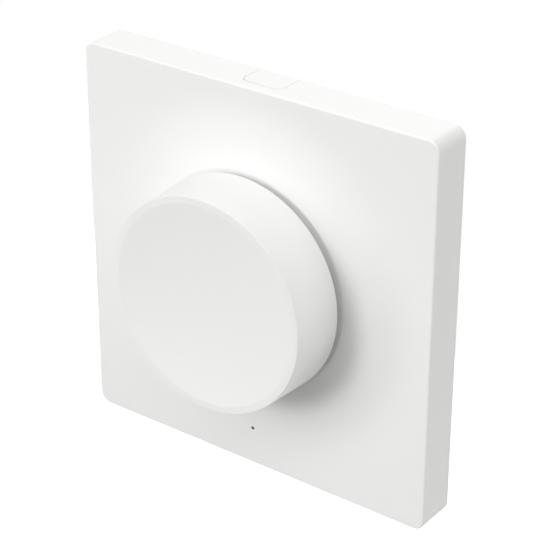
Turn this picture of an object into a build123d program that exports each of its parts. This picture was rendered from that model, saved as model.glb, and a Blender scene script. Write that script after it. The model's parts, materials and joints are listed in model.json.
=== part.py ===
from build123d import *

import os

# Rotary dimmer switch for a wall, in millimetres.
# The wall is the plane Y = 0, the front faces -Y, X runs to the right and Z runs up.
# Depths are measured from the wall towards the room, and heights from the middle of the plate.

# Front cover
PLATE = 86.0
PLATE_CORNER = 2.5
PLATE_EDGE = 0.4
COVER_SIDE = 1.6
COVER_FRONT = 1.5
COVER_INNER_CORNER = 0.9
WALL_GAP = 0.2

# Round base under the knob, moulded in the cover, with a guard ring that closes the gap behind the knob
BASE_RADIUS = 24.0
BASE_WALL = 1.8
BASE_SLOPE = 12.5
BASE_FOOT = 30.0
GUARD_CLEAR = 0.4
GUARD_WALL = 1.2
GUARD_HEIGHT = 4.0

# Knob
KNOB_RISE = 2.1
KNOB_REAR_RADIUS = 23.8
KNOB_FRONT_RADIUS = 23.3
KNOB_DEPTH = 12.4
KNOB_SLIT = 1.6
KNOB_TRAVEL = 0.5
KNOB_EDGE = 0.12
KNOB_REAR_EDGE = 0.1
KNOB_RIM = 1.5
KNOB_DISH = 2.2
KNOB_SIDE = 1.6
KNOB_TOP = 1.8
KNOB_RIB = 1.0
KNOB_RIB_COUNT = 6
HUB_RADIUS = 5.0
HUB_SLIT = 0.8
HUB_CLEAR = 0.2
HUB_FIT = 0.02

# Spring ring that grips the slit hub
GRIP_GROOVE = 0.5
GRIP_RADIAL = 0.8
GRIP_LENGTH = 1.0
GRIP_INSET = 0.6
GRIP_OPENING = 3.0
GRIP_FIT = 0.02

# Wall bracket
BRACKET_THICKNESS = 1.6
BRACKET_CORNER = 3.0
BRACKET_EDGE = 0.4
BRACKET_GAP = 0.5
BRACKET_RIM = 6.0
BRACKET_BAR = 16.0
WINDOW_CORNER = 4.0
SCREW_SPACING = 60.0
SLOT_LENGTH = 8.0
SLOT_WIDTH = 4.2
TONGUE_WIDTH = 5.2
TONGUE_THICKNESS = 1.2
BARB_THICKNESS = 1.1
FOOT_HOOK_OFFSET = 26.0
FOOT_HOOK_WIDTH = 8.0

# Release button and its spring
KEY_WIDTH = 9.6
KEY_DEPTH = 6.5
KEY_CORNER = 1.6
KEY_FRONT_GAP = 0.15
KEY_SIDE_GAP = 0.08
KEY_RELIEF = 0.3
KEY_WALL = 1.4
KEY_LEG = 6.4
KEY_LUG = 1.0
KEY_PLAY = 0.1
KEY_TRAVEL = 1.5
HOOK_THICKNESS = 1.1
LATCH_CLEAR = 0.4
LATCH_PLAY = 0.25
LATCH_BITE = 0.9
GUIDE_FIT = 0.15
GUIDE_WALL = 1.0
SPRING_DIAMETER = 3.6
SPRING_WIRE = 0.4
SPRING_LENGTH = 5.0
SPRING_TURNS = 5
SPRING_GAP = 0.2
SPRING_SEAT_PLAY = 0.05
SHELF_THICKNESS = 1.2
PEG_RADIUS = 1.1
PEG_LENGTH = 1.5

# Rear chassis
CHASSIS_THICKNESS = 1.4
CHASSIS_CLEAR = 0.2
CHASSIS_CORNER = 0.8
PANEL_MARGIN = 5.0
PANEL_CORNER = 1.5
PANEL_DEPTH = 0.3
HEAD_WINDOW_LENGTH = 13.0
HEAD_WINDOW_WIDTH = 9.0
POST_RADIUS = 1.5
POST_INSET = 2.5

# Screws that hold the chassis to the cover
CHASSIS_SCREW_INSET = 4.9
CHASSIS_SCREW_RADIUS = 1.1
CHASSIS_SCREW_LENGTH = 4.4
CHASSIS_HEAD_RADIUS = 2.1
CHASSIS_HEAD_HEIGHT = 0.9
CHASSIS_HEAD_CLEAR = 0.2
PAD_RADIUS = 3.5
PAD_HEIGHT = 0.8
BOSS_WALL = 1.5
SCREW_FIT = 0.02
DRIVE_LENGTH = 0.75
DRIVE_WIDTH = 0.45
DRIVE_DEPTH = 0.5

# Coin cell, its well and its door
CELL_DIAMETER = 20.0
CELL_THICKNESS = 3.2
CELL_CAP_DIAMETER = 17.6
CELL_CAP_STEP = 0.3
CELL_CLEAR = 0.25
CELL_RISE = 20.4
CELL_PROUD = 0.2
WELL_WALL = 0.8
DOOR_CLEAR = 0.15
DOOR_TAB = 1.2
DOOR_TAB_DEPTH = 0.65
DOOR_TAB_STARTS = (0.0, 180.0)
DOOR_TAB_ANGLE = 30.0
DOOR_TURN = 60.0
DOOR_LIP = 0.65
DOOR_TAB_CLEAR = 0.1
DOOR_EDGE = 0.3
COIN_SLOT_LENGTH = 11.0
COIN_SLOT_WIDTH = 1.6
COIN_SLOT_DEPTH = 0.7
CONTACT_SHEET = 0.25
CONTACT_WIDTH = 4.0
CONTACT_FOOT = 3.5
CONTACT_OFFSET = 6.0
CONTACT_GAP = 0.02
CONTACT_CLEAR = 0.3

# Circuit board
BOARD_STANDOFF = 1.0
BOARD_THICKNESS = 1.0
BOARD_CORNER = 1.0
BOARD_GAP = 0.6
BOARD_FOOT = 3.4
BOARD_HOLE_CLEAR = 0.1
SOLDER_CLEAR = 0.4
COMPONENT_ROOM = 2.4
BOARD_SCREW_RADIUS = 0.95
BOARD_SCREW_BITE = 1.8
BOARD_HEAD_RADIUS = 1.9
BOARD_HEAD_HEIGHT = 0.7
BOARD_SCREW_INSET = 4.0
BOARD_SCREW_RISE = 8.0

# Radio module
RADIO_WIDTH = 12.0
RADIO_GAP = 2.6
RADIO_BOARD = 0.6
RADIO_INSET = 1.5
RADIO_AERIAL = 4.4
SHIELD_WIDTH = 10.4
SHIELD_SHEET = 0.2
SHIELD_GAP = 0.3
SHIELD_INSET = 0.6

# Small board components
CHIP_SIZE = 5.0
CHIP_THICKNESS = 0.85
CHIP_OFFSET = 9.0
CHIP_DROP = 14.0
CHIP_MARK_RADIUS = 0.35
CHIP_MARK_DEPTH = 0.1
CHIP_MARK_INSET = 0.8
CRYSTAL_WIDTH = 3.2
CRYSTAL_HEIGHT = 2.5
CRYSTAL_THICKNESS = 0.7
CRYSTAL_DROP = 20.0
CRYSTAL_CORNER = 0.3
CAPACITOR_GAP = 2.0
CAPACITOR_WIDTH = 3.5
CAPACITOR_HEIGHT = 2.8
CAPACITOR_THICKNESS = 1.8
CAPACITOR_EDGE = 0.25

# Indicator
LED_FROM_EDGE = 8.8
LED_WIDTH = 1.6
LED_HEIGHT = 0.8
LED_THICKNESS = 0.6
LED_LENS = 0.25
LED_GAP = 0.3
PIPE_RADIUS = 0.4
PIPE_FIT = 0.02
PIPE_RECESS = 0.25
PIPE_FLANGE_RADIUS = 1.3

# Rotary encoder with push switch
ENCODER_WIDTH = 11.8
ENCODER_HEIGHT = 12.0
ENCODER_FLOOR = 0.5
DOME_GAP = 0.1
DOME_SHEET = 0.12
DOME_CLEAR = 0.15
PLUNGER_RADIUS = 2.4
PLUNGER_LENGTH = 0.6
PLUNGER_FIT = 0.08
PLUNGER_GAP = 0.1
ROTOR_RADIUS = 4.6
ROTOR_DEPTH = 0.7
ROTOR_FIT = 0.08
ROTOR_PLAY = 0.1
SHAFT_RADIUS = 3.0
SHAFT_FLAT = 1.5
SHAFT_FIT = 0.04
SHAFT_PLAY = 0.05
SHAFT_TIP = 0.4
TAIL_RADIUS = 2.2
TAIL_FLAT = 1.5
COLLAR_RADIUS = 3.7
COLLAR_DEPTH = 0.35
BUSHING_RADIUS = 3.5
BUSHING_LENGTH = 5.0
BUSHING_FLANGE = 0.4
BUSHING_FLANGE_RADIUS = 4.4
BUSHING_FIT = 0.02
BUSHING_HOLE_CLEAR = 0.1
FRAME_SHEET = 0.4
FRAME_LEG = 2.4
WASHER_RADIUS = 5.5
WASHER_THICKNESS = 0.5
NUT_SIDES = 6
NUT_FLATS = 10.0
NUT_THICKNESS = 2.0
TERMINAL_WIDTH = 0.9
TERMINAL_SHEET = 0.3
TERMINAL_REACH = 1.2
TERMINAL_LIFT = 0.5
TERMINAL_PITCH = 2.5

# Depths from the wall
bracket_front = BRACKET_THICKNESS
chassis_rear = bracket_front + BRACKET_GAP
chassis_front = chassis_rear + CHASSIS_THICKNESS
pad_front = chassis_front + PAD_HEIGHT
board_rear = chassis_front + BOARD_STANDOFF
board_front = board_rear + BOARD_THICKNESS
cover_inside = board_front + COMPONENT_ROOM
cover_face = cover_inside + COVER_FRONT
well_floor = board_front + ENCODER_FLOOR
plunger_rear = well_floor + KNOB_TRAVEL + DOME_GAP
plunger_front = plunger_rear + PLUNGER_LENGTH
rotor_seat = plunger_front + PLUNGER_GAP
rotor_rear = rotor_seat + ROTOR_PLAY
rotor_front = rotor_rear + ROTOR_DEPTH
collar_rear = rotor_front + KNOB_TRAVEL + ROTOR_PLAY
collar_front = collar_rear + COLLAR_DEPTH
flange_rear = collar_front + SHAFT_PLAY
encoder_front = flange_rear + BUSHING_FLANGE
base_inside = encoder_front + FRAME_SHEET
base_top = base_inside + BASE_WALL
washer_front = base_top + WASHER_THICKNESS
nut_front = washer_front + NUT_THICKNESS
bushing_front = base_inside + BUSHING_LENGTH
knob_rear = base_top + KNOB_SLIT
guard_radius = KNOB_REAR_RADIUS - KNOB_SIDE - GUARD_CLEAR
knob_front = knob_rear + KNOB_DEPTH
hollow_front = knob_front - KNOB_DISH - KNOB_TOP
hub_rear = bushing_front + KNOB_TRAVEL + HUB_CLEAR
grip_rear = hub_rear + GRIP_INSET
grip_front = grip_rear + GRIP_LENGTH
shaft_rear = plunger_front + SHAFT_PLAY
shaft_front = hollow_front - HUB_CLEAR
solder_end = chassis_front + SOLDER_CLEAR
cell_rear = chassis_front
cell_front = cell_rear + CELL_THICKNESS
well_front = cell_front - CELL_PROUD
hook_rear = bracket_front + LATCH_CLEAR
hook_front = hook_rear + HOOK_THICKNESS
barb_rear = hook_front + LATCH_PLAY
tongue_front = barb_rear + BARB_THICKNESS
leg_rear = tongue_front + LATCH_CLEAR
leg_front = leg_rear + KEY_WALL
spring_depth = chassis_front + SPRING_GAP + SPRING_DIAMETER / 2
foot_front = spring_depth + SPRING_DIAMETER / 2

# Heights and widths from the middle of the plate
plate_half = PLATE / 2
inner_half = plate_half - COVER_SIDE
chassis_half = inner_half - CHASSIS_CLEAR
bracket_half = inner_half - KEY_TRAVEL - LATCH_CLEAR
window_half = bracket_half - BRACKET_RIM
window_inner = BRACKET_BAR / 2
window_height = window_half - window_inner
window_middle = window_inner + window_height / 2
tongue_bottom = bracket_half - TONGUE_THICKNESS
hook_top = tongue_bottom - LATCH_CLEAR
barb_bottom = hook_top - LATCH_BITE
foot_top = barb_bottom - LATCH_CLEAR
foot_bottom = foot_top - KEY_WALL
shelf_top = foot_bottom - SPRING_LENGTH
shelf_bottom = shelf_top - SHELF_THICKNESS
key_notch = foot_bottom - KEY_TRAVEL - LATCH_CLEAR
leg_half = KEY_LEG / 2
foot_half = leg_half + KEY_LUG
guide_inner = leg_half + GUIDE_FIT
guide_outer = guide_inner + GUIDE_WALL
notch_half = KEY_WIDTH / 2 + LATCH_CLEAR
chassis_screw = inner_half - CHASSIS_SCREW_INSET
cell_radius = CELL_DIAMETER / 2
well_inner = cell_radius + CELL_CLEAR
well_outer = well_inner + WELL_WALL
door_reach = well_inner + DOOR_TAB + DOOR_TAB_CLEAR
cell_x = door_reach + DOOR_EDGE - chassis_half
cell_z = CELL_RISE - inner_half
board_half = -cell_x - well_outer - BOARD_GAP
board_top = shelf_bottom - BOARD_GAP
board_bottom = BOARD_FOOT - inner_half
board_screw_x = board_half - BOARD_SCREW_INSET
board_screw_z = board_bottom + BOARD_SCREW_RISE
terminals_top = KNOB_RISE + ENCODER_HEIGHT / 2 + TERMINAL_REACH
radio_bottom = terminals_top + RADIO_GAP
radio_top = board_top - RADIO_INSET
shield_bottom = radio_bottom + SHIELD_INSET
shield_top = radio_top - RADIO_AERIAL
led_z = LED_FROM_EDGE - plate_half
chip_z = KNOB_RISE - CHIP_DROP
crystal_z = KNOB_RISE - CRYSTAL_DROP
contact_x = -board_half + CONTACT_CLEAR
contact_z = cell_z + CONTACT_OFFSET
capacitor_x = contact_x + CONTACT_FOOT + CAPACITOR_GAP + CAPACITOR_WIDTH / 2
SIDES = (-1, 1)


def slab(outline, start, end):
    """Solid between two depths, from an outline drawn as seen from the front."""
    return extrude(Plane.XZ.offset(start) * outline, amount=end - start)


def disc(radius, start, end, x=0, z=0):
    """Round solid between two depths."""
    return slab(Pos(x, z) * Circle(radius), start, end)


def ring(outer, inner, start, end, x=0, z=0):
    """Round ring between two depths."""
    return slab(Pos(x, z) * (Circle(outer) - Circle(inner)), start, end)


def bar(left, right, bottom, top, start, end):
    """Square-edged bar between two X, two Z and two depth values."""
    middle = Pos((left + right) / 2, -(start + end) / 2, (bottom + top) / 2)
    return middle * Box(right - left, end - start, top - bottom)


def brick(width, height, start, end, x=0, z=0):
    """Square-edged bar of a width and height about a point, between two depths."""
    return bar(x - width / 2, x + width / 2, z - height / 2, z + height / 2, start, end)


def front_edges(solid):
    """Edges of the face nearest the room."""
    return solid.faces().sort_by(Axis.Y)[0].edges()


def rear_edges(solid):
    """Edges of the face nearest the wall."""
    return solid.faces().sort_by(Axis.Y)[-1].edges()


def on_dial(solid):
    """Solid moved from the Y axis to the dial's axis."""
    return Pos(0, 0, KNOB_RISE) * solid


def turned(outline):
    """Solid turned about the dial's axis, from an outline of radius and minus depth."""
    return on_dial(revolve(outline, axis=Axis.Y))


def corners(half):
    """The four points of a square pattern."""
    return [(x * half, z * half) for x in SIDES for z in SIDES]


def key_outline(beside, before):
    """Outline of the release button's cap, grown at its sides and at its front."""
    depth = KEY_DEPTH + before
    shape = Pos(0, -WALL_GAP - depth / 2) * Rectangle(KEY_WIDTH + 2 * beside, depth)
    return fillet(shape.vertices().group_by(Axis.Y)[0], KEY_CORNER + beside)


def key_cap(beside=0, before=0):
    """The cap's solid through the cover's top wall."""
    return Pos(0, 0, inner_half) * extrude(key_outline(beside, before), amount=COVER_SIDE)


def key_reliefs():
    """Small round holes through the top wall, where the cap's rounded corners meet its sides."""
    depth = WALL_GAP + KEY_DEPTH - KEY_CORNER
    hole = extrude(Circle(KEY_RELIEF), amount=COVER_SIDE)
    return [Pos(side * KEY_WIDTH / 2, -depth, inner_half) * hole for side in SIDES]


def flat_round(radius, flat):
    """Round section with one flat, as on the shaft's end."""
    return Circle(radius) - Pos(0, flat + radius) * Rectangle(2 * radius, 2 * radius)


def two_flats(radius, flat):
    """Round section with two flats, as on the shaft's tail."""
    return Circle(radius) & Rectangle(2 * radius, 2 * flat)


def pin_places():
    """X and side of each encoder terminal: three below the dial's axis and two above."""
    below = [(step * TERMINAL_PITCH, -1) for step in (-1, 0, 1)]
    above = [(step * TERMINAL_PITCH, 1) for step in SIDES]
    return below + above


def wall_bracket():
    """Moulded frame for the wall, with a latch tongue at the top and two hooks at the foot."""
    size = 2 * bracket_half
    solid = slab(RectangleRounded(size, size, BRACKET_CORNER), 0, bracket_front)
    window = RectangleRounded(2 * window_half, window_height, WINDOW_CORNER)
    for side in SIDES:
        solid -= slab(Pos(0, side * window_middle) * window, 0, bracket_front)
    solid = chamfer(rear_edges(solid), BRACKET_EDGE)
    half = TONGUE_WIDTH / 2
    solid += bar(-half, half, tongue_bottom, bracket_half, BRACKET_EDGE, tongue_front)
    solid += bar(-half, half, barb_bottom, tongue_bottom, barb_rear, tongue_front)
    for side in SIDES:
        slot = Pos(side * SCREW_SPACING / 2, 0) * SlotOverall(SLOT_LENGTH, SLOT_WIDTH)
        solid -= slab(slot, 0, bracket_front)
        left = side * FOOT_HOOK_OFFSET - FOOT_HOOK_WIDTH / 2
        right = left + FOOT_HOOK_WIDTH
        solid += bar(left, right, -bracket_half, -tongue_bottom, BRACKET_EDGE, tongue_front)
        solid += bar(left, right, LATCH_CLEAR - inner_half, -bracket_half, barb_rear, tongue_front)
    return solid


def front_cover():
    """Square cover shell with the knob's base and guard ring, screw bosses, button guides and foot ledges."""
    solid = slab(RectangleRounded(PLATE, PLATE, PLATE_CORNER), WALL_GAP, cover_face)
    solid = fillet(front_edges(solid), PLATE_EDGE)
    solid += turned(base_outline())
    inner = RectangleRounded(2 * inner_half, 2 * inner_half, COVER_INNER_CORNER)
    solid -= slab(inner, WALL_GAP, cover_inside)
    solid -= disc(BASE_RADIUS - COVER_FRONT, cover_inside, base_inside, z=KNOB_RISE)
    hole = BUSHING_RADIUS + BUSHING_HOLE_CLEAR
    solid -= disc(hole, base_inside, base_top, z=KNOB_RISE)
    solid -= disc(PIPE_RADIUS + PIPE_FIT, cover_inside, base_top, z=led_z)
    solid -= key_cap(KEY_SIDE_GAP, KEY_FRONT_GAP)
    solid -= key_reliefs()
    solid += on_dial(ring(guard_radius, guard_radius - GUARD_WALL, base_top, base_top + GUARD_HEIGHT))
    return solid + cover_bosses() + cover_guides() + cover_ledges()


def base_outline():
    """Half section of the knob's base, which slopes out into the plate with a softly rounded foot."""
    rise = base_top - cover_face
    length = (BASE_SLOPE**2 + rise**2) ** 0.5
    soft = BASE_FOOT * rise / (BASE_SLOPE + length)
    foot = BASE_RADIUS + BASE_SLOPE
    upper = (foot - soft * BASE_SLOPE / length, -cover_face - soft * rise / length)
    lower = (foot + soft, -cover_face)
    top = (BASE_RADIUS, -base_top)
    edges = Polyline(upper, top, (0, -base_top), (0, -cover_inside), (lower[0], -cover_inside), lower)
    return make_face(edges + RadiusArc(lower, upper, -BASE_FOOT))


def cover_bosses():
    """Bosses inside the cover for the chassis screws and the board screws."""
    solids = []
    chassis_hole = CHASSIS_SCREW_RADIUS + SCREW_FIT
    chassis_tip = chassis_rear + CHASSIS_HEAD_HEIGHT + CHASSIS_SCREW_LENGTH + SCREW_FIT
    for x, z in corners(chassis_screw):
        boss = disc(chassis_hole + BOSS_WALL, pad_front, cover_inside, x, z)
        solids.append(boss - disc(chassis_hole, pad_front, chassis_tip, x, z))
    board_hole = BOARD_SCREW_RADIUS + SCREW_FIT
    board_tip = board_front + BOARD_SCREW_BITE + SCREW_FIT
    for side in SIDES:
        x = side * board_screw_x
        boss = disc(board_hole + BOSS_WALL, board_front, cover_inside, x, board_screw_z)
        solids.append(boss - disc(board_hole, board_front, board_tip, x, board_screw_z))
    return solids


def cover_guides():
    """Two ribs inside the cover that guide the release button's leg and stop its foot."""
    solids = []
    for side in SIDES:
        left, right = sorted((side * guide_inner, side * guide_outer))
        solids.append(bar(left, right, foot_top + KEY_PLAY, bracket_half, leg_rear, cover_inside))
    return solids


def cover_ledges():
    """Two ledges on the cover's bottom wall that sit behind the bracket's foot hooks."""
    solids = []
    wall_middle = -inner_half - COVER_SIDE / 2
    for side in SIDES:
        left = side * FOOT_HOOK_OFFSET - FOOT_HOOK_WIDTH / 2
        right = left + FOOT_HOOK_WIDTH
        top = -bracket_half - LATCH_CLEAR
        solids.append(bar(left, right, wall_middle, top, hook_rear, hook_front))
    return solids


def rear_chassis():
    """Back plate of the body, with the cell's well, board posts and the release spring's shelf."""
    size = 2 * chassis_half
    solid = slab(RectangleRounded(size, size, CHASSIS_CORNER), chassis_rear, chassis_front)
    solid -= bar(-notch_half, notch_half, key_notch, chassis_half, chassis_rear, chassis_front)
    for side in SIDES:
        window = SlotOverall(HEAD_WINDOW_LENGTH, HEAD_WINDOW_WIDTH)
        window = Pos(side * SCREW_SPACING / 2, 0) * window
        solid -= slab(window, chassis_rear, chassis_front)
        left = side * FOOT_HOOK_OFFSET - FOOT_HOOK_WIDTH / 2 - LATCH_CLEAR
        right = left + FOOT_HOOK_WIDTH + 2 * LATCH_CLEAR
        top = LATCH_CLEAR - tongue_bottom
        solid -= bar(left, right, -chassis_half, top, chassis_rear, chassis_front)
    solid += chassis_pads() + chassis_posts() + spring_shelf()
    solid -= chassis_panel()
    solid -= chassis_screw_holes()
    return solid + cell_well() - cell_well_cuts()


def chassis_panel():
    """Shallow bare recess in the chassis's rear face, behind the bracket's upper opening."""
    width = 2 * (window_half - PANEL_MARGIN)
    outline = RectangleRounded(width, window_height - 2 * PANEL_MARGIN, PANEL_CORNER)
    return slab(Pos(0, window_middle) * outline, chassis_rear, chassis_rear + PANEL_DEPTH)


def chassis_pads():
    """Thick round pads under the chassis screws."""
    return [disc(PAD_RADIUS, chassis_rear, pad_front, x, z) for x, z in corners(chassis_screw)]


def chassis_screw_holes():
    """Stepped holes that take the chassis screws from behind."""
    solids = []
    head_seat = chassis_rear + CHASSIS_HEAD_HEIGHT
    for x, z in corners(chassis_screw):
        solids.append(disc(CHASSIS_HEAD_RADIUS + CHASSIS_HEAD_CLEAR, chassis_rear, head_seat, x, z))
        solids.append(disc(CHASSIS_SCREW_RADIUS + SCREW_FIT, head_seat, pad_front, x, z))
    return solids


def chassis_posts():
    """Posts that back the circuit board near its corners."""
    x = board_half - POST_INSET
    heights = (board_bottom + POST_INSET, board_top - POST_INSET)
    return [disc(POST_RADIUS, chassis_rear, board_rear, side * x, z) for side in SIDES for z in heights]


def spring_shelf():
    """Shelf and peg that carry the release button's spring."""
    half = SPRING_DIAMETER / 2 + GUIDE_WALL
    shelf = bar(-half, half, shelf_bottom, shelf_top, chassis_rear, foot_front)
    peg = Pos(0, -spring_depth, shelf_bottom) * extrude(Circle(PEG_RADIUS), SHELF_THICKNESS + PEG_LENGTH)
    return [shelf, peg]


def cell_well():
    """Round wall that holds the coin cell."""
    return disc(well_outer, chassis_rear, well_front, cell_x, cell_z)


def cell_well_cuts():
    """The well's bore, the door's grooves and entries, and the slot for the positive contact."""
    groove_front = chassis_front + DOOR_TAB_CLEAR
    groove_rear = chassis_rear + DOOR_LIP
    cuts = [disc(well_inner, chassis_rear, well_front, cell_x, cell_z)]
    for start in DOOR_TAB_STARTS:
        first = start - DOOR_TAB_ANGLE
        groove = wedge(door_reach, first, DOOR_TURN + 2 * DOOR_TAB_ANGLE)
        cuts.append(slab(groove, groove_rear, groove_front))
        entry = wedge(door_reach, start + DOOR_TURN - DOOR_TAB_ANGLE, 2 * DOOR_TAB_ANGLE)
        cuts.append(slab(entry, chassis_rear, groove_front))
    slot = CONTACT_WIDTH / 2 + CONTACT_CLEAR
    bottom, top = contact_z - slot, contact_z + slot
    cuts.append(bar(cell_x, cell_x + well_outer, bottom, top, board_front - CONTACT_CLEAR, well_front))
    return cuts


def wedge(radius, first, span):
    """Sector about the cell's middle, from a first angle over a span in degrees."""
    arc = CenterArc((0, 0), radius, first, span)
    outline = Line((0, 0), arc @ 0) + arc + Line(arc @ 1, (0, 0))
    return Pos(cell_x, cell_z) * make_face(outline)


def cross_drive(depth, x, z):
    """Cross recess cut into a screw head from behind."""
    cross = Rectangle(2 * DRIVE_LENGTH, DRIVE_WIDTH) + Rectangle(DRIVE_WIDTH, 2 * DRIVE_LENGTH)
    return slab(Pos(x, z) * cross, depth, depth + DRIVE_DEPTH)


def chassis_screws():
    """Four screws from behind through the chassis into the cover."""
    seat = chassis_rear + CHASSIS_HEAD_HEIGHT
    solids = []
    for x, z in corners(chassis_screw):
        screw = disc(CHASSIS_HEAD_RADIUS, chassis_rear, seat, x, z)
        screw += disc(CHASSIS_SCREW_RADIUS, seat, seat + CHASSIS_SCREW_LENGTH, x, z)
        solids.append(screw - cross_drive(chassis_rear, x, z))
    return Compound(children=solids)


def battery_door():
    """Round door with two bayonet tabs and a coin slot."""
    solid = disc(well_inner - DOOR_CLEAR, chassis_rear, chassis_front, cell_x, cell_z)
    for start in DOOR_TAB_STARTS:
        tab = wedge(well_inner + DOOR_TAB, start - DOOR_TAB_ANGLE / 2, DOOR_TAB_ANGLE)
        solid += slab(tab, chassis_front - DOOR_TAB_DEPTH, chassis_front)
    slot = Pos(cell_x, cell_z) * SlotOverall(COIN_SLOT_LENGTH, COIN_SLOT_WIDTH)
    return solid - slab(slot, chassis_rear, chassis_rear + COIN_SLOT_DEPTH)


def coin_cell():
    """Coin cell with its smaller cap towards the room."""
    step = cell_front - CELL_CAP_STEP
    can = disc(cell_radius, cell_rear, step, cell_x, cell_z)
    return can + disc(CELL_CAP_DIAMETER / 2, step, cell_front, cell_x, cell_z)


def battery_contact_positive():
    """Sheet tab on the board that bears on the cell's side."""
    half = CONTACT_WIDTH / 2
    right = contact_x + CONTACT_FOOT
    front = board_front + CONTACT_SHEET
    tab = bar(cell_x, right, contact_z - half, contact_z + half, board_front, front)
    return tab - disc(cell_radius + CONTACT_GAP, board_front, front, cell_x, cell_z)


def battery_contact_negative():
    """Sheet strip that rises from the board and reaches over the cell's cap."""
    z = cell_z - CONTACT_OFFSET / 2
    bottom, top = z - CONTACT_WIDTH / 2, z + CONTACT_WIDTH / 2
    front = cell_front + CONTACT_SHEET
    strip = bar(cell_x, contact_x + CONTACT_SHEET, bottom, top, cell_front, front)
    strip += bar(contact_x, contact_x + CONTACT_SHEET, bottom, top, board_front, front)
    foot = bar(contact_x, contact_x + CONTACT_FOOT, bottom, top, board_front, board_front + CONTACT_SHEET)
    return strip + foot


def main_board():
    """Circuit board with holes for the encoder and the board screws."""
    height = board_top - board_bottom
    outline = Pos(0, (board_top + board_bottom) / 2) * RectangleRounded(2 * board_half, height, BOARD_CORNER)
    solid = slab(outline, board_rear, board_front)
    for side in SIDES:
        hole = BOARD_SCREW_RADIUS + BOARD_HOLE_CLEAR
        solid -= disc(hole, board_rear, board_front, side * board_screw_x, board_screw_z)
        x = side * (ENCODER_WIDTH + FRAME_SHEET) / 2
        width = FRAME_SHEET + 2 * BOARD_HOLE_CLEAR
        solid -= brick(width, FRAME_LEG + 2 * BOARD_HOLE_CLEAR, board_rear, board_front, x, KNOB_RISE)
    for x, side in pin_places():
        z = KNOB_RISE + side * (ENCODER_HEIGHT / 2 + TERMINAL_REACH - TERMINAL_SHEET / 2)
        width = TERMINAL_WIDTH + 2 * BOARD_HOLE_CLEAR
        height = TERMINAL_SHEET + 2 * BOARD_HOLE_CLEAR
        solid -= brick(width, height, board_rear, board_front, x, z)
    return solid


def board_screws():
    """Two screws from behind through the board into the cover."""
    solids = []
    head_rear = board_rear - BOARD_HEAD_HEIGHT
    for side in SIDES:
        x = side * board_screw_x
        screw = disc(BOARD_HEAD_RADIUS, head_rear, board_rear, x, board_screw_z)
        screw += disc(BOARD_SCREW_RADIUS, board_rear, board_front + BOARD_SCREW_BITE, x, board_screw_z)
        solids.append(screw - cross_drive(head_rear, x, board_screw_z))
    return Compound(children=solids)


def radio_board():
    """Small board of the radio module, between the encoder's terminals and the board's top."""
    half = RADIO_WIDTH / 2
    return bar(-half, half, radio_bottom, radio_top, board_front, board_front + RADIO_BOARD)


def radio_shield():
    """Sheet-metal can over the radio, below the aerial's end of its board."""
    rear = board_front + RADIO_BOARD
    front = cover_inside - SHIELD_GAP
    half = SHIELD_WIDTH / 2
    can = bar(-half, half, shield_bottom, shield_top, rear, front)
    half -= SHIELD_SHEET
    bottom, top = shield_bottom + SHIELD_SHEET, shield_top - SHIELD_SHEET
    return can - bar(-half, half, bottom, top, rear, front - SHIELD_SHEET)


def controller_chip():
    """Square chip with a round corner mark."""
    front = board_front + CHIP_THICKNESS
    chip = brick(CHIP_SIZE, CHIP_SIZE, board_front, front, CHIP_OFFSET, chip_z)
    mark_x = CHIP_OFFSET - CHIP_SIZE / 2 + CHIP_MARK_INSET
    mark_z = chip_z + CHIP_SIZE / 2 - CHIP_MARK_INSET
    return chip - disc(CHIP_MARK_RADIUS, front - CHIP_MARK_DEPTH, front, mark_x, mark_z)


def crystal():
    """Low metal can of the clock crystal."""
    outline = Pos(CHIP_OFFSET, crystal_z) * RectangleRounded(CRYSTAL_WIDTH, CRYSTAL_HEIGHT, CRYSTAL_CORNER)
    return slab(outline, board_front, board_front + CRYSTAL_THICKNESS)


def storage_capacitor():
    """Block capacitor beside the battery contacts."""
    front = board_front + CAPACITOR_THICKNESS
    block = brick(CAPACITOR_WIDTH, CAPACITOR_HEIGHT, board_front, front, capacitor_x, chip_z)
    return chamfer(front_edges(block), CAPACITOR_EDGE)


def indicator_led():
    """Small light on the board, with its clear lens in front."""
    front = board_front + LED_THICKNESS
    body = brick(LED_WIDTH, LED_HEIGHT, board_front, front - LED_LENS, z=led_z)
    return body + brick(LED_HEIGHT, LED_HEIGHT, front - LED_LENS, front, z=led_z)


def light_pipe():
    """Clear pipe from the light to the pinhole in the cover."""
    rear = board_front + LED_THICKNESS + LED_GAP
    flange = disc(PIPE_FLANGE_RADIUS, rear, cover_inside, z=led_z)
    return flange + disc(PIPE_RADIUS, cover_inside, cover_face - PIPE_RECESS, z=led_z)


def encoder_housing():
    """Moulded housing of the rotary encoder, open towards the room."""
    solid = brick(ENCODER_WIDTH, ENCODER_HEIGHT, board_front, encoder_front)
    solid -= disc(PLUNGER_RADIUS + PLUNGER_FIT, well_floor, rotor_seat)
    solid -= disc(ROTOR_RADIUS + ROTOR_FIT, rotor_seat, encoder_front)
    return on_dial(solid)


def encoder_frame():
    """Sheet-metal frame over the housing, with two legs through the board."""
    width = ENCODER_WIDTH + 2 * FRAME_SHEET
    solid = brick(width, ENCODER_HEIGHT, encoder_front, base_inside)
    for side in SIDES:
        x = side * (ENCODER_WIDTH + FRAME_SHEET) / 2
        solid += brick(FRAME_SHEET, FRAME_LEG, solder_end, base_inside, x)
    return on_dial(solid - disc(BUSHING_RADIUS + BUSHING_FIT, encoder_front, base_inside))


def encoder_bushing():
    """Metal bushing that guides the shaft and takes the nut."""
    solid = disc(BUSHING_FLANGE_RADIUS, flange_rear, encoder_front)
    solid += disc(BUSHING_RADIUS, encoder_front, bushing_front)
    return on_dial(solid - disc(SHAFT_RADIUS + SHAFT_FIT, flange_rear, bushing_front))


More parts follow.
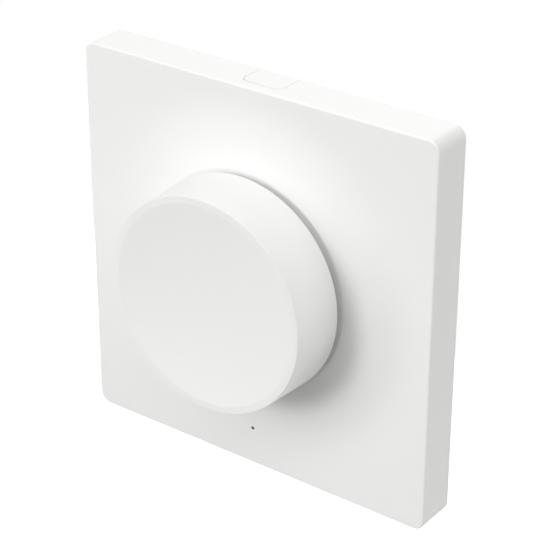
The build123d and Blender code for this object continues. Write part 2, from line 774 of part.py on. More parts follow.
def encoder_washer():
    """Flat washer on the cover's base."""
    return on_dial(ring(WASHER_RADIUS, BUSHING_RADIUS + BUSHING_HOLE_CLEAR, base_top, washer_front))


def encoder_nut():
    """Hexagon nut that clamps the encoder to the cover."""
    outline = RegularPolygon(NUT_FLATS / 2, NUT_SIDES, major_radius=False)
    outline -= Circle(BUSHING_RADIUS + BUSHING_FIT)
    return on_dial(slab(outline, washer_front, nut_front))


def encoder_terminals():
    """Five bent terminals, from the housing's sides down through the board."""
    solids = []
    rear = board_front + TERMINAL_LIFT
    for x, side in pin_places():
        near = KNOB_RISE + side * ENCODER_HEIGHT / 2
        far = near + side * TERMINAL_REACH
        left, right = x - TERMINAL_WIDTH / 2, x + TERMINAL_WIDTH / 2
        pin = bar(left, right, min(near, far), max(near, far), rear, rear + TERMINAL_SHEET)
        inner = far - side * TERMINAL_SHEET
        pin += bar(left, right, min(inner, far), max(inner, far), solder_end, rear + TERMINAL_SHEET)
        solids.append(pin)
    return Compound(children=solids)


def encoder_rotor():
    """Contact disc that turns with the shaft and lets it slide."""
    outline = Circle(ROTOR_RADIUS) - two_flats(TAIL_RADIUS + ROTOR_FIT, TAIL_FLAT + ROTOR_FIT)
    return on_dial(slab(outline, rotor_rear, rotor_front))


def encoder_shaft():
    """Turned shaft with a keyed tail, a collar under the bushing and a flat at the knob's end."""
    solid = slab(two_flats(TAIL_RADIUS, TAIL_FLAT), shaft_rear, collar_rear)
    solid += disc(COLLAR_RADIUS, collar_rear, collar_front)
    solid += disc(SHAFT_RADIUS, collar_front, hub_rear)
    end = slab(flat_round(SHAFT_RADIUS, SHAFT_FLAT), hub_rear, shaft_front)
    return on_dial(solid + chamfer(front_edges(end), SHAFT_TIP))


def push_plunger():
    """Small disc between the shaft's tail and the snap dome."""
    return on_dial(disc(PLUNGER_RADIUS, plunger_rear, plunger_front))


def push_dome():
    """Snap dome of the push switch, a thin domed sheet."""
    radius = PLUNGER_RADIUS - DOME_CLEAR
    crown = well_floor + KNOB_TRAVEL
    outer = dome_arc(radius, crown)
    inner = dome_arc(radius - DOME_SHEET, crown - DOME_SHEET)
    edges = outer + Line(outer @ 1, inner @ 1) + inner + Line(inner @ 0, outer @ 0)
    return turned(make_face(edges))


def dome_arc(radius, crown):
    """Arc from the axis at the crown to the well's floor, as radius and minus depth."""
    rise = crown - well_floor
    sphere = (radius * radius + rise * rise) / (2 * rise)
    return RadiusArc((0, -crown), (radius, -well_floor), -sphere)


def knob_shell():
    """Round cap with a dished front, a slit hub with a flat-sided bore, and radial ribs."""
    solid = turned(knob_outline())
    inner_rear = KNOB_REAR_RADIUS - KNOB_SIDE
    inner_front = KNOB_FRONT_RADIUS - KNOB_SIDE
    hollow = Polygon(
        (0, -knob_rear),
        (inner_rear, -knob_rear),
        (inner_front, -hollow_front),
        (0, -hollow_front),
        align=None,
    )
    solid -= turned(hollow)
    solid += on_dial(knob_hub() + knob_ribs())
    bore = flat_round(SHAFT_RADIUS + HUB_FIT, SHAFT_FLAT + HUB_FIT)
    return solid - on_dial(slab(bore, hub_rear, hollow_front))


def knob_outline():
    """Half section of the knob's outside: a dish inside a flat rim, and both outer edges rounded."""
    foot = (KNOB_REAR_RADIUS, -knob_rear)
    rim = (KNOB_FRONT_RADIUS, -knob_front)
    dish_radius = KNOB_FRONT_RADIUS - KNOB_RIM
    dish = (dish_radius, -knob_front)
    middle = (0, KNOB_DISH - knob_front)
    sphere = (dish_radius**2 + KNOB_DISH**2) / (2 * KNOB_DISH)
    edges = Polyline(middle, (0, -knob_rear), foot, rim, dish) + RadiusArc(middle, dish, sphere)
    outline = make_face(edges)
    outline = fillet(outline.vertices().sort_by_distance(rim)[0], KNOB_EDGE)
    return fillet(outline.vertices().sort_by_distance(foot)[0], KNOB_REAR_EDGE)


def knob_hub():
    """Hub with a groove for the grip ring and a slit that lets it close on the shaft."""
    hub = disc(HUB_RADIUS, hub_rear, hollow_front)
    hub -= ring(HUB_RADIUS, HUB_RADIUS - GRIP_GROOVE, grip_rear, grip_front)
    return hub - brick(2 * HUB_RADIUS, HUB_SLIT, hub_rear, grip_front + GRIP_INSET)


def knob_ribs():
    """Ribs from the hub to the side wall."""
    start = grip_front + GRIP_INSET
    middle = HUB_RADIUS - KNOB_RIB / 2
    length = KNOB_FRONT_RADIUS - KNOB_SIDE / 2 - middle
    rib = brick(length, KNOB_RIB, start, hollow_front, middle + length / 2)
    turn = 360 / KNOB_RIB_COUNT
    return [Rot(0, step * turn, 0) * rib for step in range(KNOB_RIB_COUNT)]


def knob_grip_ring():
    """Open spring ring in the hub's groove."""
    inner = HUB_RADIUS - GRIP_GROOVE + GRIP_FIT
    outer = inner + GRIP_RADIAL
    band = ring(outer, inner, grip_rear + GRIP_FIT, grip_front - GRIP_FIT)
    half = GRIP_OPENING / 2
    return on_dial(band - bar(0, outer, -half, half, grip_rear, grip_front))


def release_button():
    """Cap flush with the cover's top, a leg down inside it and a hook behind the bracket's barb."""
    solid = key_cap()
    solid += bar(-leg_half, leg_half, foot_bottom, inner_half, leg_rear, leg_front)
    solid += bar(-foot_half, foot_half, foot_bottom, foot_top, hook_rear, foot_front)
    half = TONGUE_WIDTH / 2
    return solid + bar(-half, half, foot_bottom, hook_top, hook_rear, hook_front)


def release_spring():
    """Coil spring between the shelf and the release button's foot."""
    margin = SPRING_WIRE / 2 + SPRING_SEAT_PLAY
    height = SPRING_LENGTH - 2 * margin
    path = Helix(height / SPRING_TURNS, height, (SPRING_DIAMETER - SPRING_WIRE) / 2)
    section = Plane(origin=path @ 0, z_dir=path % 0) * Circle(SPRING_WIRE / 2)
    coil = sweep(section, path=path, is_frenet=True)
    return Pos(0, -spring_depth, shelf_top + margin) * coil


NODES = (
    wall_bracket,
    rear_chassis,
    front_cover,
    chassis_screws,
    battery_door,
    coin_cell,
    battery_contact_positive,
    battery_contact_negative,
    main_board,
    board_screws,
    radio_board,
    radio_shield,
    controller_chip,
    crystal,
    storage_capacitor,
    indicator_led,
    light_pipe,
    encoder_housing,
    encoder_frame,
    encoder_bushing,
    encoder_washer,
    encoder_nut,
    encoder_terminals,
    encoder_rotor,
    encoder_shaft,
    push_plunger,
    push_dome,
    knob_shell,
    knob_grip_ring,
    release_button,
    release_spring,
)

os.makedirs("parts", exist_ok=True)
for node in NODES:
    export_step(node(), f"parts/{node.__name__}.step")
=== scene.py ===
"""Looks of a rotary dimmer switch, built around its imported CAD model, in metres.

The wall is the plane Y = 0, the front faces -Y, X runs to the right and Z runs up.
"""

import json
import logging
import math
from collections.abc import Callable
from dataclasses import dataclass
from enum import Enum

import bmesh
import bpy
from mathutils import Matrix, Vector

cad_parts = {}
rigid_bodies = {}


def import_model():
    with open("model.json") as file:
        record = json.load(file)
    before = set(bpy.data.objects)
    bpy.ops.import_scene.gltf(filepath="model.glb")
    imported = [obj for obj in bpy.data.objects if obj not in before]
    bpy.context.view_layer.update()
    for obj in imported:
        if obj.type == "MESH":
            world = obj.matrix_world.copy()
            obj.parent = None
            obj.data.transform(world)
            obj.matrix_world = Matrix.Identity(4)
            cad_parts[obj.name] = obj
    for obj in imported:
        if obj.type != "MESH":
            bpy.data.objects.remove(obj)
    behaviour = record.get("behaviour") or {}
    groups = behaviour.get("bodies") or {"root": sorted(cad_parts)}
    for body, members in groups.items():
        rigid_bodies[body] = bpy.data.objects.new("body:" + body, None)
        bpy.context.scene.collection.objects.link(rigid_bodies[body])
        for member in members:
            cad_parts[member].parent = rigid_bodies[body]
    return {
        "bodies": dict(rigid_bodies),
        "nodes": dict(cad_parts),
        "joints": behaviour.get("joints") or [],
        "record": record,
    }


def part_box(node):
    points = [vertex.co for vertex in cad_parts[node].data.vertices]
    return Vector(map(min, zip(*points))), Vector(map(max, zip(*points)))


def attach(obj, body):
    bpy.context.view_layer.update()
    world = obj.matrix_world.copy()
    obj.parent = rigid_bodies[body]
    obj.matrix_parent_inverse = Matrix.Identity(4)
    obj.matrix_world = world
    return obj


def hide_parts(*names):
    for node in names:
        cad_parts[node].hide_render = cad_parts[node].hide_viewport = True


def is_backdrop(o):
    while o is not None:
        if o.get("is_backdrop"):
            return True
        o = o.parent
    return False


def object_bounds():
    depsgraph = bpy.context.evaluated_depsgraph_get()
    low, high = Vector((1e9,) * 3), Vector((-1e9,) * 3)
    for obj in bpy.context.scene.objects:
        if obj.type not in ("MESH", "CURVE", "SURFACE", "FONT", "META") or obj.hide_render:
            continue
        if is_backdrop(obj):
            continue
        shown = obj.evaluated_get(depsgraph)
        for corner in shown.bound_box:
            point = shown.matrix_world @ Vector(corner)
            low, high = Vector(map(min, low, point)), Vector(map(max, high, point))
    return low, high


Colour = tuple[float, float, float]
Scale = tuple[float, float, float]
MM = 0.001
TOUCH = 0.001 * MM
SEED = 1 * MM
log = logging.getLogger("dimmer_switch")


class Slot(Enum):
    """Material slots of the record, by their names there."""

    COVER = "cover_white"
    KNOB = "knob_white"
    BRACKET = "bracket_white"
    DARK = "dark_plastic"
    BOARD = "board_green"
    RADIO = "board_blue"
    PIPE = "clear_pipe"
    LED = "led_body"
    SPRING = "spring_steel"
    PLATED = "plated_steel"
    CELL = "cell_steel"
    SHAFT = "shaft_metal"
    BRONZE = "contact_bronze"


class Shape(Enum):
    """What a tool does to a piece."""

    ADD = "UNION"
    CUT = "DIFFERENCE"


class MaterialSheet:
    """A new material with the few kinds of node that the finishes are made of."""

    def __init__(self, name: str) -> None:
        """Makes an empty material around one Principled shader.

        Args:
            name: Name of the material.
        """
        self.material = bpy.data.materials.new(name)
        self.material.use_nodes = True
        self.nodes = self.material.node_tree.nodes
        self.links = self.material.node_tree.links
        self.shader = self.nodes["Principled BSDF"]
        self.place = self.nodes.new("ShaderNodeTexCoord").outputs["Object"]

    def constant(self, **values: float) -> None:
        """Sets the shader's own sockets, named with _ for a space."""
        for name, value in values.items():
            self.shader.inputs[name.replace("_", " ").title().replace("Ior", "IOR")].default_value = value

    def stretched(self, scale: Scale) -> bpy.types.NodeSocket:
        """Object coordinates stretched along the axes.

        Args:
            scale: Factor along X, Y and Z.

        Returns:
            The socket of the stretched coordinates.
        """
        mapping = self.nodes.new("ShaderNodeMapping")
        mapping.inputs["Scale"].default_value = scale
        self.links.new(self.place, mapping.inputs["Vector"])
        return mapping.outputs["Vector"]

    def noise(
        self, size: float, detail: float = 2.0, place: bpy.types.NodeSocket | None = None
    ) -> bpy.types.NodeSocket:
        """Soft noise with marks of a real size.

        Args:
            size: Size of one mark, in metres.
            detail: Octaves of finer noise.
            place: Coordinates, or None for the plain Object coordinates.

        Returns:
            The noise's factor socket.
        """
        noise = self.nodes.new("ShaderNodeTexNoise")
        noise.inputs["Scale"].default_value = 1 / size
        noise.inputs["Detail"].default_value = detail
        self.links.new(place or self.place, noise.inputs["Vector"])
        return noise.outputs["Fac"]

    def spread(self, factor: bpy.types.NodeSocket, low: float, high: float) -> bpy.types.NodeSocket:
        """Factor from 0 to 1 brought between two values.

        Args:
            factor: Socket of the factor.
            low: Value at 0.
            high: Value at 1.

        Returns:
            The socket of the new value.
        """
        mapped = self.nodes.new("ShaderNodeMapRange")
        mapped.inputs["To Min"].default_value = low
        mapped.inputs["To Max"].default_value = high
        self.links.new(factor, mapped.inputs["Value"])
        return mapped.outputs["Result"]

    def between(self, factor: bpy.types.NodeSocket, first: Colour, second: Colour) -> bpy.types.NodeSocket:
        """Colour between two colours, by a factor.

        Args:
            factor: Socket of the factor.
            first: Colour at 0.
            second: Colour at 1.

        Returns:
            The socket of the mixed colour.
        """
        mix = self.nodes.new("ShaderNodeMix")
        mix.data_type = "RGBA"
        mix.inputs["A"].default_value = (*first, 1.0)
        mix.inputs["B"].default_value = (*second, 1.0)
        self.links.new(factor, mix.inputs["Factor"])
        return mix.outputs["Result"]

    def colour(self, socket: bpy.types.NodeSocket) -> None:
        """Links a colour to the shader."""
        self.links.new(socket, self.shader.inputs["Base Color"])

    def roughness(self, socket: bpy.types.NodeSocket) -> None:
        """Links a roughness to the shader."""
        self.links.new(socket, self.shader.inputs["Roughness"])

    def relief(self, height: bpy.types.NodeSocket, depth: float) -> None:
        """Links a bump of a real depth to the shader.

        Args:
            height: Height from 0 to 1.
            depth: Depth of the relief, in metres.
        """
        bump = self.nodes.new("ShaderNodeBump")
        bump.inputs["Strength"].default_value = 1.0
        bump.inputs["Distance"].default_value = depth
        self.links.new(height, bump.inputs["Height"])
        self.links.new(bump.outputs["Normal"], self.shader.inputs["Normal"])


@dataclass(frozen=True)
class MouldedPlastic:
    """Moulded plastic with a fine spark-eroded grain and a faint drift of tone."""

    name: str
    colour: Colour
    drift: float
    smooth: float
    rough: float
    grain: float
    grain_depth: float
    drift_size: float = 30 * MM
    grain_detail: float = 3.0

    def make(self) -> bpy.types.Material:
        """Builds the material.

        Returns:
            The material.
        """
        sheet = MaterialSheet(self.name)
        shade = tuple(part * (1 - self.drift) for part in self.colour)
        sheet.colour(sheet.between(sheet.noise(self.drift_size), self.colour, shade))
        grain = sheet.noise(self.grain, detail=self.grain_detail)
        sheet.roughness(sheet.spread(grain, self.smooth, self.rough))
        sheet.relief(grain, self.grain_depth)
        return sheet.material


@dataclass(frozen=True)
class DrawnMetal:
    """Bare or plated metal with fine drawing marks along one axis."""

    name: str
    colour: Colour
    stain: float
    smooth: float
    rough: float
    stretch: Scale = (1.0, 1.0, 0.06)
    mark: float = 0.12 * MM
    mark_depth: float = 0.001 * MM
    mark_detail: float = 4.0
    stain_size: float = 4 * MM

    def make(self) -> bpy.types.Material:
        """Builds the material.

        Returns:
            The material.
        """
        sheet = MaterialSheet(self.name)
        sheet.constant(metallic=1.0)
        dull = tuple(part * (1 - self.stain) for part in self.colour)
        sheet.colour(sheet.between(sheet.noise(self.stain_size), self.colour, dull))
        marks = sheet.noise(self.mark, detail=self.mark_detail, place=sheet.stretched(self.stretch))
        sheet.roughness(sheet.spread(marks, self.smooth, self.rough))
        sheet.relief(marks, self.mark_depth)
        return sheet.material


@dataclass(frozen=True)
class SolderMask:
    """Lacquered circuit board with tracks that show through as a lighter net."""

    name: str
    colour: Colour
    track: Colour
    pitch: float = 1.6 * MM
    track_share: float = 0.09
    track_height: float = 0.03 * MM
    smooth: float = 0.25
    rough: float = 0.4
    cloud_size: float = 2 * MM

    def make(self) -> bpy.types.Material:
        """Builds the material.

        Returns:
            The material.
        """
        sheet = MaterialSheet(self.name)
        cells = sheet.nodes.new("ShaderNodeTexVoronoi")
        cells.feature = "DISTANCE_TO_EDGE"
        cells.distance = "MANHATTAN"
        cells.inputs["Scale"].default_value = 1 / self.pitch
        sheet.links.new(sheet.place, cells.inputs["Vector"])
        edge = sheet.nodes.new("ShaderNodeMath")
        edge.operation = "LESS_THAN"
        edge.inputs[1].default_value = self.track_share
        sheet.links.new(cells.outputs["Distance"], edge.inputs[0])
        sheet.colour(sheet.between(edge.outputs["Value"], self.colour, self.track))
        sheet.roughness(sheet.spread(sheet.noise(self.cloud_size), self.smooth, self.rough))
        sheet.relief(edge.outputs["Value"], self.track_height)
        return sheet.material


@dataclass(frozen=True)
class ClearPlastic:
    """Clear or tinted plastic of a light pipe or lens, with a faint cloud in it."""

    name: str
    colour: Colour
    cloud: Colour
    roughness: float
    transmission: float
    cloud_size: float = 0.4 * MM

    def make(self) -> bpy.types.Material:
        """Builds the material.

        Returns:
            The material.
        """
        sheet = MaterialSheet(self.name)
        sheet.constant(roughness=self.roughness, transmission_weight=self.transmission)
        sheet.colour(sheet.between(sheet.noise(self.cloud_size), self.colour, self.cloud))
        return sheet.material


WHITE: Colour = (0.86, 0.858, 0.846)
FINISHES = {
    Slot.COVER: MouldedPlastic("cover_white", WHITE, 0.012, 0.42, 0.56, 0.22 * MM, 0.004 * MM),
    Slot.KNOB: MouldedPlastic("knob_white", WHITE, 0.010, 0.36, 0.50, 0.18 * MM, 0.003 * MM),
    Slot.BRACKET: MouldedPlastic("bracket_white", (0.74, 0.74, 0.73), 0.03, 0.45, 0.65, 0.3 * MM, 0.008 * MM),
    Slot.DARK: MouldedPlastic("dark_plastic", (0.03, 0.03, 0.033), 0.3, 0.4, 0.6, 0.2 * MM, 0.006 * MM),
    Slot.BOARD: SolderMask("board_green", (0.015, 0.12, 0.05), (0.05, 0.2, 0.09)),
    Slot.RADIO: SolderMask("board_blue", (0.015, 0.05, 0.16), (0.05, 0.11, 0.26), 0.9 * MM),
    Slot.PIPE: ClearPlastic("clear_pipe", (0.03, 0.03, 0.032), (0.05, 0.05, 0.05), 0.2, 0.2),
    Slot.LED: ClearPlastic("led_body", (0.85, 0.82, 0.66), (0.9, 0.88, 0.78), 0.25, 0.1),
    Slot.SPRING: DrawnMetal("spring_steel", (0.58, 0.58, 0.58), 0.1, 0.18, 0.32),
    Slot.PLATED: DrawnMetal("plated_steel", (0.66, 0.66, 0.64), 0.12, 0.2, 0.4),
    Slot.CELL: DrawnMetal("cell_steel", (0.72, 0.72, 0.71), 0.06, 0.14, 0.3),
    Slot.SHAFT: DrawnMetal("shaft_metal", (0.7, 0.7, 0.71), 0.06, 0.2, 0.36, (1.0, 0.06, 1.0)),
    Slot.BRONZE: DrawnMetal("contact_bronze", (0.72, 0.47, 0.24), 0.15, 0.2, 0.4),
}


class Dresser:
    """Gives every CAD node the finish of its slot in the record."""

    def __init__(self, frame: dict) -> None:
        """Makes one material for each slot.
        """
        self.nodes = frame["nodes"]
        self.slots = {part["node"]: Slot(part["material_slot"]) for part in frame["record"]["subparts"]}
        self.materials = {slot: finish.make() for slot, finish in FINISHES.items()}

    def dress(self) -> None:
        """Puts each node's finish in all its material slots."""
        for name, node in self.nodes.items():
            node.data.materials.clear()
            node.data.materials.append(self.materials[self.slots[name]])
            log.info("dressed %s as %s", name, self.slots[name].value)


class Piece:
    """A mesh under work with the modelling tools, which ends as a piece of the object."""

    def __init__(self, name: str) -> None:
        """Adds a small plane and goes into edit mode with all of it selected.

        Args:
            name: Name of the piece.
        """
        if bpy.context.object and bpy.context.object.mode == "EDIT":
            bpy.ops.object.mode_set(mode="OBJECT")
        bpy.ops.object.select_all(action="DESELECT")
        bpy.ops.mesh.primitive_plane_add(size=SEED)
        self.object = bpy.context.object
        self.object.name = name
        self.object.data.name = name
        bpy.ops.object.mode_set(mode="EDIT")

    def pick(self, chosen: Callable[[Vector], bool]) -> None:
        """Selects the points that a test names, and nothing else.

        Args:
            chosen: Test of a point's place.
        """
        mesh = bmesh.from_edit_mesh(self.object.data)
        for vertex in mesh.verts:
            vertex.select = chosen(vertex.co)
        mesh.select_flush_mode()
        bmesh.update_edit_mesh(self.object.data)

    def draw(self, points: list[Vector]) -> None:
        """Turns the plane into a chain of edges through some points.

        Args:
            points: Places of the chain's points, in order.
        """
        bpy.ops.mesh.merge(type="CENTER")
        bpy.ops.transform.translate(value=points[0])
        for last, point in zip(points, points[1:]):
            bpy.ops.mesh.extrude_vertices_move(TRANSFORM_OT_translate={"value": point - last})

    def block(self, low: Vector, high: Vector) -> None:
        """Turns the plane into a square-edged block.

        Args:
            low: Its lowest corner.
            high: Its highest corner.
        """
        size = high - low
        bpy.ops.transform.resize(value=(size.x / SEED, size.y / SEED, 1))
        bpy.ops.transform.translate(value=(low + high) / 2 - Vector((0, 0, size.z / 2)))
        bpy.ops.mesh.extrude_region_move(TRANSFORM_OT_translate={"value": (0, 0, size.z)})
        bpy.ops.mesh.select_all(action="SELECT")
        bpy.ops.mesh.normals_make_consistent(inside=False)

    def repeat(self, centre: Vector, count: int) -> None:
        """Repeats the selected mesh evenly round an axis along Y.

        Args:
            centre: A point of the axis.
            count: How many there are in the end.
        """
        for _ in range(count - 1):
            bpy.ops.mesh.duplicate()
            bpy.ops.transform.rotate(value=math.tau / count, orient_axis="Y", center_override=centre)

    def flatten(self, place: Vector, outward: Vector) -> None:
        """Cuts a flat on the mesh and closes it.

        Args:
            place: A point of the flat.
            outward: Direction of what is cut away.
        """
        bpy.ops.mesh.select_all(action="SELECT")
        bpy.ops.mesh.bisect(plane_co=place, plane_no=outward, clear_outer=True, use_fill=True)

    def round_corner(self, corner: Vector, radius: float, segments: int) -> None:
        """Rounds one corner of a chain of edges.

        Args:
            corner: Place of the corner.
            radius: How far from the corner the rounding starts.
            segments: Steps along the rounding.
        """
        self.pick(lambda place: (place - corner).length < TOUCH)
        bpy.ops.mesh.bevel(affect="VERTICES", offset=radius, segments=segments, profile=0.5)

    def turn(self, centre: Vector, steps: int) -> None:
        """Turns the chain once round an axis along Y and closes the skin.

        Args:
            centre: A point of the axis.
            steps: Steps round the axis.
        """
        bpy.ops.mesh.select_all(action="SELECT")
        bpy.ops.mesh.spin(steps=steps, angle=math.tau, center=centre, axis=(0, 1, 0), use_auto_merge=True)
        bpy.ops.mesh.select_all(action="SELECT")
        bpy.ops.mesh.remove_doubles(threshold=TOUCH)
        bpy.ops.mesh.normals_make_consistent(inside=False)

    def shape(self, tool: "Piece", kind: Shape) -> None:
        """Adds a tool to the piece or cuts it out, and uses the tool up.

        Args:
            tool: Closed mesh in its place.
            kind: What the tool does.
        """
        bpy.ops.object.mode_set(mode="OBJECT")
        bpy.ops.object.select_all(action="DESELECT")
        self.object.select_set(True)
        bpy.context.view_layer.objects.active = self.object
        change = self.object.modifiers.new("shape", "BOOLEAN")
        change.operation = kind.value
        change.solver = "EXACT"
        change.object = tool.object
        bpy.ops.object.modifier_apply(modifier=change.name)
        bpy.data.meshes.remove(tool.object.data)
        bpy.ops.object.mode_set(mode="EDIT")

    def finish(self, smooth_angle: float) -> None:
        """Leaves edit mode with smooth shading that follows the large faces.

        Args:
            smooth_angle: Edges sharper than this stay sharp, in degrees.
        """
        bpy.ops.object.mode_set(mode="OBJECT")
        bpy.ops.object.shade_smooth_by_angle(angle=math.radians(smooth_angle))
        weigh = self.object.modifiers.new("weigh", "WEIGHTED_NORMAL")
        weigh.keep_sharp = True
        bpy.ops.object.modifier_apply(modifier=weigh.name)


@dataclass(frozen=True)
class Knob:
    """The knob: a turned shell with a dished front inside a flat rim, and a ribbed hub for the shaft."""

    rear_radius: float = 23.8 * MM
    front_radius: float = 23.3 * MM
    rim: float = 1.5 * MM
    rim_edge: float = 0.12 * MM
    dish: float = 2.2 * MM
    dish_edge: float = 0.2 * MM
    rear_edge: float = 0.1 * MM
    side: float = 1.6 * MM
    top: float = 1.8 * MM
    hub: float = 5.0 * MM
    hub_inset: float = 2.3 * MM
    groove: float = 0.5 * MM
    groove_start: float = 0.6 * MM
    groove_end: float = 1.6 * MM
    slit: float = 0.8 * MM
    slit_depth: float = 2.2 * MM
    bore: float = 3.02 * MM
    bore_flat: float = 1.52 * MM
    rib: float = 1.0 * MM
    rib_start: float = 4.5 * MM
    rib_end: float = 22.5 * MM
    rib_count: int = 6
    dish_steps: int = 20
    lip_segments: int = 3
    rim_segments: int = 6
    foot_segments: int = 5
    steps: int = 192
    bore_steps: int = 64
    smooth_angle: float = 35

    def make(self, materials: dict[Slot, bpy.types.Material]) -> None:
        """Models and dresses the knob in the place of its CAD node.

        Args:
            materials: The material of each slot.
        """
        low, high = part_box("knob_shell")
        axis = Vector(((low.x + high.x) / 2, 0, (low.z + high.z) / 2))
        hollow = low.y + self.dish + self.top
        end = high.y - self.hub_inset
        piece = Piece("knob_cap")
        self.model_shell(piece, axis, low.y, high.y)
        piece.shape(self.model_bore(axis, hollow, end), Shape.CUT)
        piece.shape(self.model_slit(axis, end), Shape.CUT)
        piece.shape(self.model_ribs(axis, hollow, end - self.slit_depth), Shape.ADD)
        piece.finish(self.smooth_angle)
        piece.object.data.materials.append(materials[Slot.KNOB])
        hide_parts("knob_shell")
        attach(piece.object, "knob")

    def model_shell(self, piece: Piece, axis: Vector, front: float, rear: float) -> None:
        """Turns the shell and its solid hub from their half section.

        Args:
            piece: The piece under work.
            axis: Point where the knob's axis meets the wall.
            front: Y of the rim.
            rear: Y of the open rear.
        """
        hollow = front + self.dish + self.top
        end = rear - self.hub_inset
        rim = axis + Vector((self.front_radius, front, 0))
        foot = axis + Vector((self.rear_radius, rear, 0))
        lip = axis + Vector((self.front_radius - self.rim, front, 0))
        points = [axis + Vector((radius, front + self.sag(radius), 0)) for radius in self.dish_radii()]
        points += [lip, rim, foot]
        section = (
            (self.rear_radius - self.side, rear),
            (self.front_radius - self.side, hollow),
            (self.hub, hollow),
            (self.hub, end - self.groove_end),
            (self.hub - self.groove, end - self.groove_end),
            (self.hub - self.groove, end - self.groove_start),
            (self.hub, end - self.groove_start),
            (self.hub, end),
            (0, end),
        )
        points += [axis + Vector((radius, y, 0)) for radius, y in section]
        piece.draw(points)
        piece.round_corner(lip, self.dish_edge, self.lip_segments)
        piece.round_corner(rim, self.rim_edge, self.rim_segments)
        piece.round_corner(foot, self.rear_edge, self.foot_segments)
        piece.turn(axis, self.steps)

    def model_bore(self, axis: Vector, front: float, end: float) -> Piece:
        """Bore with one flat, as the tool that cuts it.

        Args:
            axis: Point where the knob's axis meets the wall.
            front: Y of the bore's blind end.
            end: Y of the hub's end.

        Returns:
            The tool.
        """
        tool = Piece("bore_tool")
        outer = end + self.groove
        section = ((0, front), (self.bore, front), (self.bore, outer), (0, outer))
        tool.draw([axis + Vector((radius, y, 0)) for radius, y in section])
        tool.turn(axis, self.bore_steps)
        tool.flatten(axis + Vector((0, 0, self.bore_flat)), Vector((0, 0, 1)))
        return tool

    def model_slit(self, axis: Vector, end: float) -> Piece:
        """Slit that lets the hub's two halves grip, as the tool that cuts it.

        Args:
            axis: Point where the knob's axis meets the wall.
            end: Y of the hub's end.

        Returns:
            The tool.
        """
        tool = Piece("slit_tool")
        reach = self.hub + self.groove
        low = axis + Vector((-reach, end - self.slit_depth, -self.slit / 2))
        tool.block(low, axis + Vector((reach, end + self.groove, self.slit / 2)))
        return tool

    def model_ribs(self, axis: Vector, front: float, rear: float) -> Piece:
        """Ribs between the hub and the side.

        Args:
            axis: Point where the knob's axis meets the wall.
            front: Y of the hollow's bottom.
            rear: Y of the ribs' free edges.

        Returns:
            The ribs, as one tool.
        """
        tool = Piece("rib_tool")
        low = axis + Vector((self.rib_start, front - self.dish_edge, -self.rib / 2))
        tool.block(low, axis + Vector((self.rib_end, rear, self.rib / 2)))
        tool.repeat(axis, self.rib_count)
        return tool

    def dish_radii(self) -> list[float]:
        """Radii of the dish's rings, from its middle outwards."""
        ring = self.front_radius - self.rim
        return [ring * step / self.dish_steps for step in range(self.dish_steps)]

    def sag(self, radius: float) -> float:
        """Depth of the spherical dish below the rim.

        Args:
            radius: Distance from the knob's axis.

        Returns:
            The depth there.
        """
        ring = self.front_radius - self.rim
        sphere = (ring**2 + self.dish**2) / (2 * self.dish)
        return self.dish - sphere + math.sqrt(sphere**2 - radius**2)


@dataclass(frozen=True)
class Lamp:
    """Square soft lamp that looks at the object's middle."""

    name: str
    azimuth: float
    elevation: float
    level: float
    size: float
    distance: float = 1.2

    def make(self) -> None:
        """Builds the lamp. At level 1 a surface that faces it renders as its colour is written."""
        data = bpy.data.lights.new(self.name, "AREA")
        data.shape = "SQUARE"
        data.size = self.size
        data.energy = self.level * math.pi**2 * self.distance**2
        lamp = bpy.data.objects.new(self.name, data)
        bpy.context.scene.collection.objects.link(lamp)
        back = direction(self.azimuth, self.elevation)
        lamp.location = back * self.distance
        lamp.rotation_euler = back.to_track_quat("Z", "Y").to_euler()


@dataclass(frozen=True)
class PhotoCamera:
    """Camera at the photograph's place, found from the plate's square outline."""

    azimuth: float = 36.54
    elevation: float = 27.94
    roll: float = 0.18
    distance: float = 404.6 * MM
    right: float = 0.08 * MM
    up: float = -2.38 * MM
    lens: float = 125.8

    def make(self, rear: float) -> None:
        """Builds the camera and makes it the scene's.

        Args:
            rear: Y of the cover's rear rim, which the place is measured from.
        """
        back = direction(self.azimuth, self.elevation)
        level = Vector((0, 0, 1)).cross(back).normalized()
        turn = Matrix.Rotation(math.radians(self.roll), 3, back)
        across = turn @ level
        upward = turn @ back.cross(level)
        data = bpy.data.cameras.new("photo_camera")
        data.lens = self.lens
        camera = bpy.data.objects.new("photo_camera", data)
        bpy.context.scene.collection.objects.link(camera)
        place = back * self.distance + across * self.right + upward * self.up
        axes = Matrix((across, upward, back)).transposed().to_4x4()
        camera.matrix_world = Matrix.Translation(place + Vector((0, rear, 0))) @ axes
        bpy.context.scene.camera = camera


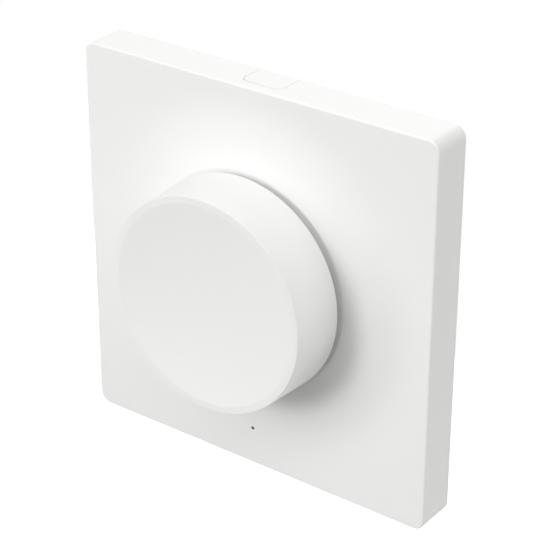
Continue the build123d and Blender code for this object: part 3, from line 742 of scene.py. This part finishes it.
@dataclass(frozen=True)
class Studio:
    """White surroundings, a pale floor well below the switch and soft lamps."""

    ambient: float = 0.01
    floor_drop: float = 0.5
    floor_size: float = 1.6
    floor_colour: Colour = (0.8, 0.8, 0.8)
    floor_drift: float = 0.02
    floor_drift_size: float = 0.5
    floor_roughness: float = 0.9
    floor_glow: float = 0.95
    lamps: tuple[Lamp, ...] = (
        Lamp("key_lamp", -15, 15, 0.29, 0.3),
        Lamp("front_lamp", -30, 15, 0.35, 0.8),
        Lamp("upper_lamp", 0, 45, 0.32, 0.8),
        Lamp("side_lamp", 85, 60, 0.57, 0.8),
        Lamp("low_lamp", 105, -20, 0.34, 0.8),
        Lamp("crown_lamp", 210, 45, 0.3, 0.8),
        Lamp("rear_lamp", 180, 0, 0.35, 0.8),
    )

    def make(self, low: Vector) -> None:
        """Builds the surroundings.

        Args:
            low: Lowest corner of the object's box.
        """
        bpy.context.scene.view_settings.view_transform = "Standard"
        self.make_world()
        self.make_floor(low.z - self.floor_drop)
        for lamp in self.lamps:
            lamp.make()

    def make_world(self) -> None:
        """White to the camera and in reflections, and a plain even light on the object."""
        world = bpy.data.worlds.new("studio_world")
        bpy.context.scene.world = world
        world.use_nodes = True
        nodes, links = world.node_tree.nodes, world.node_tree.links
        nodes.clear()
        even = nodes.new("ShaderNodeBackground")
        even.inputs["Strength"].default_value = self.ambient
        white = nodes.new("ShaderNodeBackground")
        mix = nodes.new("ShaderNodeMixShader")
        links.new(seen_directly(nodes, links), mix.inputs["Fac"])
        links.new(even.outputs["Background"], mix.inputs[1])
        links.new(white.outputs["Background"], mix.inputs[2])
        links.new(mix.outputs["Shader"], nodes.new("ShaderNodeOutputWorld").inputs["Surface"])
        for node in (even, white):
            node.inputs["Color"].default_value = (1.0, 1.0, 1.0, 1.0)

    def make_floor(self, height: float) -> None:
        """Pale floor that keeps the object's shadow and looks white to the camera.

        Args:
            height: Z of the floor.
        """
        bpy.ops.object.select_all(action="DESELECT")
        bpy.ops.mesh.primitive_plane_add(size=self.floor_size, location=(0, 0, height))
        floor = bpy.context.object
        floor.name = "studio_floor"
        sheet = MaterialSheet("studio_floor")
        sheet.constant(roughness=self.floor_roughness, specular_ior_level=0.0)
        pale = tuple(part * (1 - self.floor_drift) for part in self.floor_colour)
        sheet.colour(sheet.between(sheet.noise(self.floor_drift_size), self.floor_colour, pale))
        glow = sheet.nodes.new("ShaderNodeEmission")
        glow.inputs["Strength"].default_value = self.floor_glow
        added = sheet.nodes.new("ShaderNodeAddShader")
        mix = sheet.nodes.new("ShaderNodeMixShader")
        sheet.links.new(seen_directly(sheet.nodes, sheet.links), mix.inputs["Fac"])
        sheet.links.new(sheet.shader.outputs["BSDF"], added.inputs[0])
        sheet.links.new(glow.outputs["Emission"], added.inputs[1])
        sheet.links.new(sheet.shader.outputs["BSDF"], mix.inputs[1])
        sheet.links.new(added.outputs["Shader"], mix.inputs[2])
        sheet.links.new(mix.outputs["Shader"], sheet.nodes["Material Output"].inputs["Surface"])
        floor.data.materials.append(sheet.material)
        floor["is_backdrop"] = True


def direction(azimuth: float, elevation: float) -> Vector:
    """Unit vector from the object, with azimuth 0 towards the room.

    Args:
        azimuth: Degrees to the right of the front.
        elevation: Degrees above the horizon.

    Returns:
        The unit vector.
    """
    a, e = math.radians(azimuth), math.radians(elevation)
    return Vector((math.sin(a) * math.cos(e), -math.cos(a) * math.cos(e), math.sin(e)))


def seen_directly(nodes: bpy.types.Nodes, links: bpy.types.NodeLinks) -> bpy.types.NodeSocket:
    """Socket that is 1 for rays from the camera, mirror rays and rays through clear pieces.

    Args:
        nodes: Nodes of the tree.
        links: Links of the tree.

    Returns:
        The socket.
    """
    path = nodes.new("ShaderNodeLightPath")
    total = path.outputs["Is Camera Ray"]
    for kind in ("Is Glossy Ray", "Is Transmission Ray"):
        either = nodes.new("ShaderNodeMath")
        either.operation = "MAXIMUM"
        links.new(total, either.inputs[0])
        links.new(path.outputs[kind], either.inputs[1])
        total = either.outputs["Value"]
    return total


def main() -> None:
    """Builds the switch's looks and its studio."""
    logging.basicConfig(level=logging.INFO, format="%(message)s")
    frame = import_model()
    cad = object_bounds()
    dresser = Dresser(frame)
    dresser.dress()
    Knob().make(dresser.materials)
    Studio().make(cad[0])
    PhotoCamera().make(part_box("front_cover")[1].y)


if __name__ == "__main__":
    main()
